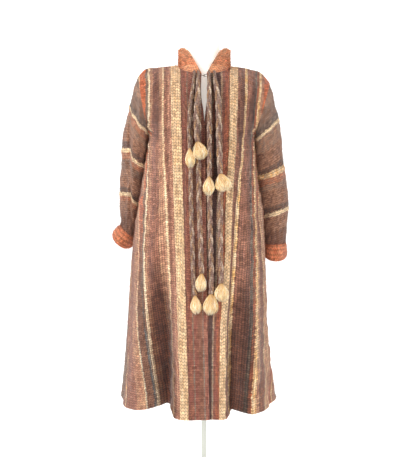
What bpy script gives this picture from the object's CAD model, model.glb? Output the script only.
# The looks of a long knitted coat with plaited ties and fur tassels, worn by a limbless dress form.
# Metres, +Z up. The front faces -Y, and the wearer's left is +X. Colours are given from 0 to 255.
import math

import bmesh
import bpy
import numpy as np
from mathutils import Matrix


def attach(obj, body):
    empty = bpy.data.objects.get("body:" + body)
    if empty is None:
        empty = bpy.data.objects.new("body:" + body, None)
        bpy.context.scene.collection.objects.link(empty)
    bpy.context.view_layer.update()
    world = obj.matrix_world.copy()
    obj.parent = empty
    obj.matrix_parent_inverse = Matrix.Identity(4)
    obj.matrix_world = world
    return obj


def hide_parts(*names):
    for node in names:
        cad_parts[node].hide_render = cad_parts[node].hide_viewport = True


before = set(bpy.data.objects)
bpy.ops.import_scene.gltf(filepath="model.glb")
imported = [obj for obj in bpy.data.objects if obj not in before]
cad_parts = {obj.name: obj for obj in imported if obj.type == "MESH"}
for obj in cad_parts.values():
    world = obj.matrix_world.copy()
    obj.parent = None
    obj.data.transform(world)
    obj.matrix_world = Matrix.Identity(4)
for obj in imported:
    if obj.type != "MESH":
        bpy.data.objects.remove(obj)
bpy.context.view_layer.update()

scene = bpy.context.scene

# The camera stands in front at eye height and looks slightly down. Its small shift keeps the coat's sides
# upright, as in the photograph.
EYE = (-0.013, -3.0, 1.20)
TILT = 3.0
SHIFT = -0.104
LENS = 72.3
SENSOR = 36.0

camera = bpy.data.objects.new("camera", bpy.data.cameras.new("camera"))
scene.collection.objects.link(camera)
camera.data.lens = LENS
camera.data.sensor_width = SENSOR
camera.location = EYE
camera.rotation_euler = (math.radians(90.0 - TILT), 0.0, 0.0)
camera.data.shift_y = SHIFT
scene.camera = camera


# The body of the coat: two fronts and a back, hand-knitted in vertical stripes of wool and mohair. They
# flare to a hem with deep soft folds, and are sewn at the shoulders and down the sides. The right front
# lies over the left one.
CLOTH = 0.003
HEM_Z = 0.315
CHEST_Z = 1.195
SQUARENESS = 0.25
BODY_LEVELS = np.array((
    # height, right width, left width, front depth, back depth
    (0.315, 0.267, 0.236, 0.212, 0.205),
    (0.420, 0.257, 0.222, 0.200, 0.195),
    (0.560, 0.247, 0.208, 0.184, 0.182),
    (0.700, 0.241, 0.204, 0.170, 0.168),
    (0.850, 0.231, 0.198, 0.158, 0.153),
    (0.935, 0.219, 0.194, 0.151, 0.143),
    (1.030, 0.203, 0.178, 0.145, 0.132),
    (1.110, 0.191, 0.169, 0.140, 0.122),
    (1.195, 0.180, 0.165, 0.133, 0.112),
))
FOLDS = (
    # angle round the body (0 in front, 90 at the wearer's left), spread before it, spread after it,
    # depth inwards, height where it fades
    (-78.0, 9.0, 9.0, 0.010, 0.95),
    (-56.0, 12.0, 10.0, -0.012, 0.95),
    (-31.0, 9.5, 6.0, 0.068, 0.88),
    (-17.0, 7.0, 8.0, -0.010, 0.80),
    (23.5, 4.0, 9.0, 0.046, 0.84),
    (44.0, 11.0, 11.0, -0.012, 0.90),
    (70.0, 9.0, 9.0, 0.012, 0.85),
    (104.0, 10.0, 10.0, 0.016, 0.82),
    (132.0, 10.0, 10.0, 0.026, 0.88),
    (152.0, 9.0, 9.0, -0.010, 0.80),
    (172.0, 9.0, 9.0, 0.030, 0.92),
    (-160.0, 9.0, 9.0, -0.010, 0.82),
    (-138.0, 10.0, 10.0, 0.028, 0.86),
    (-108.0, 10.0, 10.0, 0.014, 0.80),
)
EDGE_LEVELS = np.array((
    # height, edge of the right front, edge of the left front
    (0.315, 0.017, -0.013),
    (0.600, 0.011, -0.012),
    (0.990, 0.006, -0.008),
    (1.195, 0.003, -0.001),
))
TUCK = 0.0042
TUCK_FADE = 0.040
TUCK_TOP_Z = (1.250, 1.300)
LEAF_WIDTH = 0.004
LEAF_FOOT_Z = 1.250
NECK_FRONT_Z = 1.388
NECK_BACK_Z = 1.430
NECK_FRONT_DEPTH = 0.085
NECK_BACK_DEPTH = 0.062
NECK_EDGE_X = 0.008
ARMHOLE_DEPTH = 0.074
SHOULDERS = np.array((
    # share of the seam, right x, right z, left x, left z
    (0.00, 0.082, 1.419, 0.084, 1.417),
    (0.50, 0.150, 1.412, 0.150, 1.406),
    (0.85, 0.196, 1.403, 0.192, 1.389),
    (1.00, 0.213, 1.384, 0.213, 1.364),
))
UNDERARM_X = {-1: 0.180, 1: 0.165}
CHEST_NECK_SHARE = 0.23
CHEST_SHOULDER_SHARE = 0.47
CHEST_ARMHOLE_CROWDING = 1.4
NECK_LEANS = (15.0, 72.0)
SHOULDER_LEAN = 76.0
UPRIGHT_TURN = 130.0
SHOULDER_SPREAD = 0.3
ARMHOLE_SPREAD = 0.9
TOP_HANDLE = 0.36
SMOOTHING_PASSES = 4
SMOOTHING_BAND = 0.10
SMOOTHING_EDGE = 0.25
FRONT_NECK_STEPS = 5
BACK_NECK_STEPS = 8
SHOULDER_STEPS = 5
ARMHOLE_STEPS = 9
BODY_ROWS = 20
ROW_CROWDING = 1.3
SECTION_STEPS = 60
CURVE_STEPS = 30
ANGLE_STEPS = 161


def unit(vector):
    length = np.linalg.norm(vector, axis=-1, keepdims=True)
    return vector / np.maximum(length, 1e-12)


def soft_step(share):
    share = np.clip(share, 0.0, 1.0)
    return share * share * (3.0 - 2.0 * share)


def through(knots, values, at):
    """A smooth curve through the values at rising knots, read at one number or at many."""
    knots = np.asarray(knots, float)
    values = np.asarray(values, float)
    at = np.clip(np.asarray(at, float), knots[0], knots[-1])
    slopes = np.gradient(values, knots, axis=0)
    low = np.clip(np.searchsorted(knots, at, side="right") - 1, 0, len(knots) - 2)
    step = knots[low + 1] - knots[low]
    share = (at - knots[low]) / step
    if values.ndim > 1:
        share = share[..., None]
        step = step[..., None]
    rest = 1.0 - share
    return (
        values[low] * rest * rest * (1.0 + 2.0 * share)
        + slopes[low] * step * share * rest * rest
        + values[low + 1] * share * share * (1.0 + 2.0 * rest)
        - slopes[low + 1] * step * share * share * rest
    )


def fold_depth(angle, height):
    depth = np.zeros(np.broadcast(angle, height).shape)
    for centre, before, after, inwards, top in FOLDS:
        away = (angle - centre + 180.0) % 360.0 - 180.0
        spread = np.where(away < 0.0, before, after)
        fade = soft_step((top - height) / (top - HEM_Z))
        depth += inwards * fade * np.exp(-((away / spread) ** 2))
    return depth


def body_point(angle, height):
    """A point of the body's outer face at or below the chest, by its angle in degrees."""
    angle, height = np.broadcast_arrays(np.asarray(angle, float), np.asarray(height, float))
    level = through(BODY_LEVELS[:, 0], BODY_LEVELS[:, 1:], height)
    sine = np.sin(np.radians(angle))
    cosine = np.cos(np.radians(angle))
    width = np.where(sine < 0.0, level[..., 0], level[..., 1])
    depth = np.where(cosine > 0.0, level[..., 2], level[..., 3])
    out_x = sine / width
    out_y = -cosine / depth
    size = np.hypot(out_x, out_y)
    push = fold_depth(angle, height) / size
    x = width * sine - push * out_x
    y = -depth * cosine * (1.0 + SQUARENESS * sine * sine) - push * out_y
    return np.stack((x, y, height + 0.0 * x), axis=-1)


def edge_angle(side, height):
    level = through(BODY_LEVELS[:, 0], BODY_LEVELS[:, 1:3], height)
    edges = through(EDGE_LEVELS[:, 0], EDGE_LEVELS[:, 1:], height)
    edge = edges[0] if side < 0 else edges[1]
    width = level[0] if edge < 0.0 else level[1]
    return math.degrees(math.asin(edge / width))


def angle_at_share(start, end, height, share):
    angles = np.linspace(start, end, ANGLE_STEPS)
    points = body_point(angles, height)
    steps = np.linalg.norm(np.diff(points, axis=0), axis=1)
    passed = np.concatenate(((0.0,), np.cumsum(steps)))
    return float(np.interp(share * passed[-1], passed, angles))


def neck_line(side, front, share):
    """Points of the neckline by their share of the way from the middle to the shoulder seam."""
    half_width, side_z = SHOULDERS[0][1:3] if side < 0 else SHOULDERS[0][3:5]
    depth = -NECK_FRONT_DEPTH if front else NECK_BACK_DEPTH
    middle_z = NECK_FRONT_Z if front else NECK_BACK_Z
    start = math.asin(NECK_EDGE_X / half_width) if front else 0.0
    turn = start + (math.pi / 2.0 - start) * share
    x = side * half_width * np.sin(turn)
    y = depth * np.cos(turn)
    z = side_z + (middle_z - side_z) * np.cos(turn)
    return np.stack((x, y, z), axis=-1)


def shoulder_line(side, share):
    places = slice(1, 3) if side < 0 else slice(3, 5)
    line = through(SHOULDERS[:, 0], SHOULDERS[:, places], share)
    return np.stack((side * line[..., 0], 0.0 * line[..., 0], line[..., 1]), axis=-1)


def armhole_point(side, turn):
    """A point of the armhole: 0 degrees on the shoulder, 90 in front, 180 under the arm."""
    tip = shoulder_line(side, np.array(1.0))
    turn = np.radians(turn)
    height = (1.0 + np.cos(turn)) / 2.0
    under_x = side * UNDERARM_X[side]
    x = under_x + (tip[0] - under_x) * height
    y = -ARMHOLE_DEPTH * np.sin(turn)
    z = CHEST_Z + (tip[2] - CHEST_Z) * height
    return np.stack((x, y, z), axis=-1)


def half_top(side, front):
    """Top edge of half a body: its points, the way the cloth runs into it, and its share of the chest."""
    neck_steps = FRONT_NECK_STEPS if front else BACK_NECK_STEPS // 2
    neck = neck_line(side, front, np.linspace(0.0, 1.0, neck_steps + 1))
    shoulder = shoulder_line(side, np.linspace(0.0, 1.0, SHOULDER_STEPS + 1))[1:]
    share = np.linspace(0.0, 1.0, ARMHOLE_STEPS + 1)[1:]
    turn = share * 180.0
    armhole = armhole_point(side, turn if front else -turn)
    points = np.concatenate((neck, shoulder, armhole))
    neck_lean = np.linspace(*NECK_LEANS, neck_steps + 1)
    shoulder_lean = np.full(SHOULDER_STEPS, SHOULDER_LEAN)
    armhole_lean = SHOULDER_LEAN * (1.0 - soft_step(turn / UPRIGHT_TURN))
    lean = np.radians(np.concatenate((neck_lean, shoulder_lean, armhole_lean)))
    outwards = np.concatenate((
        np.zeros(neck_steps + 1),
        np.linspace(0.0, SHOULDER_SPREAD, SHOULDER_STEPS + 1)[1:],
        SHOULDER_SPREAD * (1.0 - share) + ARMHOLE_SPREAD * np.sin(np.radians(turn)),
    ))
    back_sign = 1.0 if front else -1.0
    runs = unit(np.stack((side * outwards, back_sign * np.sin(lean), np.cos(lean)), axis=-1))
    chest = np.concatenate((
        np.linspace(0.0, CHEST_NECK_SHARE, neck_steps + 1),
        np.linspace(CHEST_NECK_SHARE, CHEST_SHOULDER_SHARE, SHOULDER_STEPS + 1)[1:],
        CHEST_SHOULDER_SHARE + (1.0 - CHEST_SHOULDER_SHARE) * share ** CHEST_ARMHOLE_CROWDING,
    ))
    return points, runs, chest


def half_body(side, front):
    """Net of half the body's front or back, from the hem up and from the middle out."""
    top, runs, chest = half_top(side, front)
    count = len(top)
    hem = np.linspace(0.0, 1.0, count)
    net = np.zeros((BODY_ROWS + 1, count, 3))
    heights = np.linspace(HEM_Z, CHEST_Z, SECTION_STEPS)
    for place in range(count):
        lower = []
        for height in heights:
            rise = soft_step((height - HEM_Z) / (CHEST_Z - HEM_Z))
            share = hem[place] + (chest[place] - hem[place]) * rise
            start = edge_angle(side, height) if front else side * 180.0
            lower.append(body_point(angle_at_share(start, side * 90.0, height, share), height))
        path = [np.array(lower)]
        reach = np.linalg.norm(top[place] - lower[-1])
        if reach > 1e-6:
            share = np.linspace(0.0, 1.0, CURVE_STEPS)[1:, None]
            rest = 1.0 - share
            near = lower[-1] + unit(lower[-1] - lower[-2]) * TOP_HANDLE * reach
            far = top[place] - runs[place] * TOP_HANDLE * reach
            path.append(
                rest**3 * lower[-1] + 3 * rest**2 * share * near
                + 3 * rest * share**2 * far + share**3 * top[place]
            )
        path = np.concatenate(path)
        passed = np.concatenate(((0.0,), np.cumsum(np.linalg.norm(np.diff(path, axis=0), axis=1))))
        rows = 1.0 - (1.0 - np.linspace(0.0, 1.0, BODY_ROWS + 1)) ** ROW_CROWDING
        for axis in range(3):
            net[:, place, axis] = np.interp(rows * passed[-1], passed, path[:, axis])
        net[-1, place] = top[place]
    middle = net[1:-1, 1:-1]
    weight = 0.5 * soft_step((middle[..., 2:] - CHEST_Z) / SMOOTHING_BAND + 1.0)
    if front:
        from_underarm = (count - 1.0 - np.arange(1, count - 1)) / ARMHOLE_STEPS
        weight *= soft_step(from_underarm - SMOOTHING_EDGE)[:, None]
    for _ in range(SMOOTHING_PASSES):
        middle += weight * ((net[1:-1, :-2] + net[1:-1, 2:]) / 2.0 - middle)
    return net


def front_net(side):
    """A front, with its columns from the wearer's right to the left."""
    net = half_body(side, True)
    leaf = np.clip((net[:, 0, 2] - LEAF_FOOT_Z) / (NECK_FRONT_Z - LEAF_FOOT_Z), 0.0, 1.0)
    net[:, 0, 0] += side * LEAF_WIDTH * np.sin(math.pi * leaf)
    if side > 0:
        edges = through(EDGE_LEVELS[:, 0], EDGE_LEVELS[:, 1], net[..., 2])
        beside = 1.0 - soft_step((net[..., 0] - edges - 0.003) / TUCK_FADE)
        parted = soft_step((net[..., 2] - TUCK_TOP_Z[0]) / (TUCK_TOP_Z[1] - TUCK_TOP_Z[0]))
        net[..., 1] += TUCK * beside * (1.0 - parted)
        return net
    return net[:, ::-1]


def back_net():
    return np.concatenate((half_body(1, False)[:, ::-1], half_body(-1, False)[:, 1:]), axis=1)


def refine(net, rows, columns, wraps=False):
    """The same surface through more rows and columns."""
    if wraps:
        pad = 3
        net = np.concatenate((net[:, -pad:], net, net[:, :pad]), axis=1)
        places = pad + np.arange(columns) * (net.shape[1] - 2.0 * pad) / columns
    else:
        places = np.linspace(0.0, net.shape[1] - 1.0, columns)
    across = np.moveaxis(net, 1, 0).reshape(net.shape[1], -1)
    wide = through(np.arange(net.shape[1]), across, places).reshape(columns, net.shape[0], 3)
    tall = np.moveaxis(wide, 1, 0).reshape(net.shape[0], -1)
    at = np.linspace(0.0, net.shape[0] - 1.0, rows)
    return through(np.arange(net.shape[0]), tall, at).reshape(rows, columns, 3)


def directions_out(net, wraps=False):
    if wraps:
        along = np.roll(net, -1, axis=1) - np.roll(net, 1, axis=1)
    else:
        along = np.gradient(net, axis=1)
    return unit(np.cross(along, np.gradient(net, axis=0)))


def run_length(net, axis):
    """Distance passed along a net's rows (axis 1) or up its columns (axis 0)."""
    steps = np.linalg.norm(np.diff(net, axis=axis), axis=-1)
    start = np.zeros_like(np.take(steps, [0], axis=axis))
    return np.cumsum(np.concatenate((start, steps), axis=axis), axis=axis)


def make_mesh(name, points, faces, u, v, period=0.0, turn_share=None):
    """A smooth mesh from lists of its faces, with a value of u and v at each point. Where a face crosses the
    seam of a round piece, u goes on by one period."""
    flat = np.concatenate([group.reshape(-1) for group in faces])
    sizes = np.concatenate([np.full(len(group), group.shape[1]) for group in faces])
    mesh = bpy.data.meshes.new(name)
    mesh.vertices.add(len(points))
    mesh.vertices.foreach_set("co", points.reshape(-1))
    mesh.loops.add(len(flat))
    mesh.loops.foreach_set("vertex_index", flat)
    mesh.polygons.add(len(sizes))
    mesh.polygons.foreach_set("loop_start", np.cumsum(sizes) - sizes)
    mesh.update(calc_edges=True)
    mesh.shade_smooth()
    corner_u = []
    for group in faces:
        value = u[group]
        if period:
            place = turn_share[group]
            crossing = place.max(axis=1, keepdims=True) - place.min(axis=1, keepdims=True) > 0.5
            value = value + period * (crossing & (place < 0.5))
        corner_u.append(value.reshape(-1))
    layer = mesh.uv_layers.new(name="cloth")
    layer.data.foreach_set("uv", np.stack((np.concatenate(corner_u), v[flat]), axis=-1).reshape(-1))
    return mesh


def ring_faces(rows, sides, turned_over=False):
    """Faces between rings of points, given row by row."""
    row, place = np.meshgrid(np.arange(rows - 1), np.arange(sides), indexing="ij")
    beside = (place + 1) % sides
    here, next_here = row * sides + place, row * sides + beside
    above, next_above = (row + 1) * sides + place, (row + 1) * sides + beside
    corners = (here, above, next_above, next_here) if turned_over else (here, next_here, next_above, above)
    return np.stack(corners, axis=-1).reshape(-1, 4)


def wall_mesh(name, outer, inner, across, along, period=0.0):
    """A closed wall of cloth, whose inner side has half as many rows and columns. Its map holds the distance
    across and along the cloth in metres. With a period it runs right round."""
    rows, count = outer.shape[:2]
    inner = inner[::2, ::2]
    low_rows, low_count = inner.shape[:2]
    half = rows * count

    def fine(row, place):
        return row * count + place % count

    def coarse(row, place):
        return half + row * low_count + place % low_count

    row, place = np.meshgrid(np.arange(rows - 1), np.arange(count if period else count - 1), indexing="ij")
    quads = [np.stack((fine(row, place), fine(row, place + 1), fine(row + 1, place + 1),
                       fine(row + 1, place)), axis=-1).reshape(-1, 4)]
    turns = low_count if period else low_count - 1
    row, place = np.meshgrid(np.arange(low_rows - 1), np.arange(turns), indexing="ij")
    quads.append(np.stack((coarse(row + 1, place), coarse(row + 1, place + 1), coarse(row, place + 1),
                           coarse(row, place)), axis=-1).reshape(-1, 4))
    rims = []
    place = np.arange(turns)
    edges = [([fine(0, 2 * place + step) for step in range(3)], coarse(0, place), coarse(0, place + 1), True),
             ([fine(rows - 1, 2 * place + step) for step in range(3)], coarse(low_rows - 1, place),
              coarse(low_rows - 1, place + 1), False)]
    if not period:
        row = np.arange(low_rows - 1)
        edges.append(([fine(2 * row + step, 0) for step in range(3)], coarse(row, 0),
                      coarse(row + 1, 0), False))
        edges.append(([fine(2 * row + step, count - 1) for step in range(3)], coarse(row, low_count - 1),
                      coarse(row + 1, low_count - 1), True))
    for (first, middle, last), near, far, turned in edges:
        for corners in ((first, middle, near), (middle, far, near), (middle, last, far)):
            rims.append(np.stack(corners[::-1] if turned else corners, axis=-1))
    points = np.concatenate((outer.reshape(-1, 3), inner.reshape(-1, 3)))
    u = np.concatenate((across.reshape(-1), across[::2, ::2].reshape(-1)))
    v = np.concatenate((along.reshape(-1), along[::2, ::2].reshape(-1)))
    place = np.broadcast_to(np.arange(count) / count, (rows, count))
    turn_share = np.concatenate((place.reshape(-1), place[::2, ::2].reshape(-1)))
    return make_mesh(name, points, quads + [np.concatenate(rims)], u, v, period, turn_share)


def add_piece(name, mesh, material, slot_name, *nodes):
    """A finished piece at the origin, riding on the one body."""
    mesh.materials.append(material)
    piece = bpy.data.objects.new(name, mesh)
    scene.collection.objects.link(piece)
    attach(piece, "root")
    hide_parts(*nodes)
    return piece


MOHAIR_WIDTH = 0.0005
MOHAIR_SPLAY = 0.55          # how far hairs lean away from the cloth's own direction out
TIES_REACH = 0.062           # the ties hang within this distance of the middle in front
TIES_FOOT = 0.63             # and between these two heights
TIES_TOP = 1.415
REACH_STRAY = 0.020          # the bare place has a ragged edge of this width at the sides
FOOT_STRAY = 0.14            # and of this height at the foot


def mohair(name, net, out, across, along, material, slot_name, count, length):
    """Short loose hairs that stand out of a cloth's outer side, each a single sliver. None grows where the
    ties hang."""
    chance = np.random.default_rng(count)
    row = chance.integers(1, net.shape[0] - 1, count)
    place = chance.integers(0, net.shape[1], count)
    x, y, z = net[row, place].T
    stray = chance.uniform(0.0, 1.0, count)
    beside = np.abs(x) > TIES_REACH + REACH_STRAY * stray
    free = (y > 0.0) | beside | (z < TIES_FOOT - FOOT_STRAY * stray) | (z > TIES_TOP)
    row, place = row[free], place[free]
    aim = unit(out[row, place] + chance.normal(0.0, MOHAIR_SPLAY, (len(row), 3)))
    aside = unit(np.cross(aim, chance.normal(size=(len(row), 3)))) * MOHAIR_WIDTH / 2.0
    tip = net[row, place] + aim * length * chance.uniform(0.4, 1.0, (len(row), 1))
    points = np.concatenate((net[row, place] - aside, net[row, place] + aside, tip))
    hair = np.arange(len(row))
    faces = [np.stack((hair, hair + len(row), hair + 2 * len(row)), axis=-1)]
    mesh = make_mesh(name, points, faces, np.tile(across[row, place], 3), np.tile(along[row, place], 3))
    add_piece(name, mesh, material, slot_name)


def cloth_piece(name, net, out, rise, maps, material, slot_name, fuzz, thickness=CLOTH, period=0.0):
    """A wall of cloth that shows the node of its name, with its relief outside, and its loose hairs, given by
    the ending of their name, their number and their length."""
    outer = net + out * rise[..., None]
    mesh = wall_mesh(name + "_knit", outer, net - out * thickness, *maps, period)
    piece = add_piece(name + "_knit", mesh, material, slot_name, name)
    ending, count, length = fuzz
    mohair(name + ending, outer, out, *maps, material, slot_name, count, length)
    return piece


def new_material(name, plain):
    """A material, its node tree and its shader, with the plain values set on the shader."""
    material = bpy.data.materials.new(name)
    material.use_nodes = True
    shader = material.node_tree.nodes["Principled BSDF"]
    for label, value in plain.items():
        shader.inputs[label].default_value = value
    return material, material.node_tree, shader


def linear(red, green, blue):
    parts = [value / 255.0 for value in (red, green, blue)]
    return tuple(part / 12.92 if part < 0.04 else ((part + 0.055) / 1.055) ** 2.4 for part in parts) + (1.0,)


def put(tree, kind, inputs=(), **settings):
    """A shader node with its settings, and each input given a value or the socket that feeds it."""
    made = tree.nodes.new(kind)
    for key, value in settings.items():
        setattr(made, key, value)
    for key, value in dict(inputs).items():
        if isinstance(value, bpy.types.NodeSocket):
            tree.links.new(value, made.inputs[key])
        else:
            made.inputs[key].default_value = value
    return made


def sum_up(tree, operation, *values):
    return put(tree, "ShaderNodeMath", enumerate(values), operation=operation).outputs[0]


def blend_colours(tree, kind, share, first, second):
    mixed = put(tree, "ShaderNodeMix", {0: share, 6: first, 7: second}, data_type="RGBA", blend_type=kind)
    return mixed.outputs[2]


def new_group(name, inputs, outputs):
    group = bpy.data.node_groups.new(name, "ShaderNodeTree")
    for label, kind, value in inputs:
        socket = group.interface.new_socket(name=label, in_out="INPUT", socket_type="NodeSocket" + kind)
        if value is not None:
            socket.default_value = value
    for label, kind in outputs:
        group.interface.new_socket(name=label, in_out="OUTPUT", socket_type="NodeSocket" + kind)
    return group, group.nodes.new("NodeGroupInput").outputs, group.nodes.new("NodeGroupOutput").inputs


# Rows of knitted loops: each wale is a column of V-shaped stitches with a dark gap between its legs, and
# each loop has a random number of its own.
stitches, given, result = new_group(
    "knit_stitches",
    (("Across", "Float", 0.0), ("Along", "Float", 0.0), ("Wale", "Float", 0.0086),
     ("Course", "Float", 0.0072)),
    (("Height", "Float"), ("Gap", "Float"), ("Chance", "Float")))
wales = sum_up(stitches, "DIVIDE", given["Across"], given["Wale"])
courses = sum_up(stitches, "DIVIDE", given["Along"], given["Course"])
from_wale = sum_up(stitches, "PINGPONG", wales, 0.5)
slanted = sum_up(stitches, "ADD", courses, from_wale)
loop = sum_up(stitches, "PINGPONG", slanted, 0.5)
leg = sum_up(stitches, "PINGPONG", from_wale, 0.25)
rounded = sum_up(stitches, "POWER", sum_up(stitches, "MULTIPLY", leg, 4.0), 0.45)
lifted = sum_up(stitches, "POWER", sum_up(stitches, "MULTIPLY", loop, 2.0), 0.45)
height = sum_up(stitches, "MULTIPLY", rounded, lifted)
cell = put(stitches, "ShaderNodeCombineXYZ", {
    0: sum_up(stitches, "FLOOR", sum_up(stitches, "ADD", wales, 0.5)),
    1: sum_up(stitches, "FLOOR", slanted)})
chance = put(stitches, "ShaderNodeTexWhiteNoise", {"Vector": cell.outputs[0]}, noise_dimensions="2D")
stitches.links.new(height, result["Height"])
stitches.links.new(sum_up(stitches, "SUBTRACT", 1.0, height), result["Gap"])
stitches.links.new(chance.outputs[0], result["Chance"])

# Hand-spun yarn: its colour drifts between two shades along its length, loops of it are darker, warmer or
# paler by chance, and it has flecks and fuzz.
yarn, given, result = new_group(
    "hand_spun_yarn",
    (("First", "Color", None), ("Second", "Color", None), ("Across", "Float", 0.0), ("Along", "Float", 0.0),
     ("Gap", "Float", 0.0), ("Chance", "Float", 0.5), ("Drift", "Float", 0.05), ("Strand", "Float", 0.006),
     ("Depth", "Float", 0.34)),
    (("Colour", "Color"), ("Fuzz", "Float")))
strand_place = sum_up(yarn, "DIVIDE", given["Across"], given["Strand"])
drift_place = sum_up(yarn, "DIVIDE", given["Along"], given["Drift"])
spot = put(yarn, "ShaderNodeCombineXYZ", {0: strand_place, 1: drift_place})
drift = put(yarn, "ShaderNodeTexNoise", {"Vector": spot.outputs[0], "Scale": 1.0, "Detail": 2.0})
drift_share = put(yarn, "ShaderNodeMapRange", {0: drift.outputs[0], 1: 0.36, 2: 0.64})
drifted = blend_colours(yarn, "MIX", drift_share.outputs[0], given["First"], given["Second"])
loop_tint = put(yarn, "ShaderNodeValToRGB", {0: given["Chance"]})
stops = loop_tint.color_ramp.elements
stops[0].color = (0.50, 0.44, 0.40, 1.0)
stops[1].color = (1.0, 0.97, 0.90, 1.0)
stops.new(0.14).color = (0.62, 0.55, 0.50, 1.0)
stops.new(0.50).color = (0.76, 0.73, 0.70, 1.0)
stops.new(0.85).color = (0.84, 0.78, 0.70, 1.0)
tinted = blend_colours(yarn, "MULTIPLY", 1.0, drifted, loop_tint.outputs[0])
fine_spot = put(yarn, "ShaderNodeCombineXYZ", {0: given["Across"], 1: given["Along"]})
fleck = put(yarn, "ShaderNodeTexNoise", {"Vector": fine_spot.outputs[0], "Scale": 260.0, "Detail": 3.0})
fleck_share = put(yarn, "ShaderNodeMapRange", {0: fleck.outputs[0], 1: 0.3, 2: 0.7, 3: 1.05, 4: 2.05})
dark_gap = put(yarn, "ShaderNodeMapRange", {0: given["Gap"], 1: 0.30, 2: 0.85, 3: 1.0, 4: given["Depth"]})
shade = sum_up(yarn, "MULTIPLY", fleck_share.outputs[0], dark_gap.outputs[0])
shaded = put(yarn, "ShaderNodeVectorMath", {0: tinted, "Scale": shade}, operation="SCALE")
yarn.links.new(shaded.outputs[0], result["Colour"])
yarn.links.new(fleck.outputs[0], result["Fuzz"])


def knit_material(name, stripes, by_length=False, drift=0.05, wobble=0.0012, band=None, patches=()):
    """Stripes from rows of start in metres, colour and second colour. They lie across the cloth, or along
    it if by_length is set. The last row only says where they end. A band between two places is knitted in
    chunky chains. A patch is given by its middle and its reach across and along, its colour and share."""
    material, tree, shader = new_material(name, {
        "Roughness": 0.95, "Specular IOR Level": 0.15, "Sheen Weight": 0.25, "Sheen Roughness": 0.6})
    cloth_map = put(tree, "ShaderNodeUVMap", uv_map="cloth")
    place = put(tree, "ShaderNodeSeparateXYZ", {0: cloth_map.outputs[0]})
    across, along = place.outputs[0], place.outputs[1]
    if by_length:
        across, along = along, across
    wavy = put(tree, "ShaderNodeCombineXYZ", {0: sum_up(tree, "MULTIPLY", across, 25.0),
                                              1: sum_up(tree, "MULTIPLY", along, 110.0)})
    waves = put(tree, "ShaderNodeTexNoise", {"Vector": wavy.outputs[0], "Scale": 1.0, "Detail": 1.0})
    shift = put(tree, "ShaderNodeMapRange", {0: waves.outputs[0], 1: 0.3, 2: 0.7, 3: -wobble, 4: wobble})
    low, high = stripes[0][0], stripes[-1][0]
    moved = sum_up(tree, "ADD", across, shift.outputs[0])
    share = put(tree, "ShaderNodeMapRange", {0: moved, 1: low, 2: high})
    colours = []
    for which in (1, 2):
        ramp = put(tree, "ShaderNodeValToRGB", {0: share.outputs[0]})
        ramp.color_ramp.interpolation = "CONSTANT"
        stops = ramp.color_ramp.elements
        stops.remove(stops[1])
        stops[0].position = 0.0
        stops[0].color = linear(*stripes[0][which])
        for row in stripes[1:-1]:
            stops.new((row[0] - low) / (high - low)).color = linear(*row[which])
        colours.append(ramp.outputs[0])
    knit = put(tree, "ShaderNodeGroup", {"Across": place.outputs[0], "Along": place.outputs[1]},
               node_tree=stitches)
    height, gap, chance = knit.outputs
    if band:
        chunky = put(tree, "ShaderNodeGroup", {
            "Across": sum_up(tree, "SUBTRACT", place.outputs[0], band[0]), "Along": place.outputs[1],
            "Wale": (band[1] - band[0]) / 3.0, "Course": 0.0100}, node_tree=stitches)
        middle, reach = (band[0] + band[1]) / 2.0, (band[1] - band[0]) / 2.0
        inside = sum_up(tree, "COMPARE", moved, middle, reach)
        height, gap, chance = (
            put(tree, "ShaderNodeMix", {0: inside, 2: first, 3: second}).outputs[0]
            for first, second in zip(knit.outputs, chunky.outputs))
    spun = put(tree, "ShaderNodeGroup", {
        "First": colours[0], "Second": colours[1], "Across": across, "Along": along, "Gap": gap,
        "Chance": chance, "Drift": drift}, node_tree=yarn)
    raised = sum_up(tree, "ADD", height, sum_up(tree, "MULTIPLY", spun.outputs["Fuzz"], 0.7))
    bump = put(tree, "ShaderNodeBump", {"Height": raised, "Strength": 0.9, "Distance": 0.0018})
    cloth_colour = spun.outputs["Colour"]
    for middle_across, middle_along, reach_across, reach_along, tone, strength in patches:
        offset = put(tree, "ShaderNodeCombineXYZ", {
            0: sum_up(tree, "DIVIDE", sum_up(tree, "SUBTRACT", moved, middle_across), reach_across),
            1: sum_up(tree, "DIVIDE", sum_up(tree, "SUBTRACT", place.outputs[1], middle_along), reach_along)})
        away = put(tree, "ShaderNodeVectorMath", {0: offset.outputs[0]}, operation="LENGTH")
        patch = put(tree, "ShaderNodeMapRange", {
            0: away.outputs["Value"], 1: 0.65, 2: 1.0, 3: strength, 4: 0.0})
        toned = put(tree, "ShaderNodeVectorMath", {0: spun.outputs["Colour"], 1: linear(*tone)[:3]},
                    operation="MULTIPLY")
        cloth_colour = blend_colours(tree, "MIX", patch.outputs[0], cloth_colour, toned.outputs[0])
    tree.links.new(cloth_colour, shader.inputs["Base Color"])
    tree.links.new(bump.outputs[0], shader.inputs["Normal"])
    return material


def seen_from_front(points):
    """Where points appear in the plane of the stand's axis, from the camera's place."""
    scale = -EYE[1] / (points[..., 1] - EYE[1])
    x = EYE[0] + (points[..., 0] - EYE[0]) * scale
    return x, EYE[2] + (points[..., 2] - EYE[2]) * scale


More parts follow.
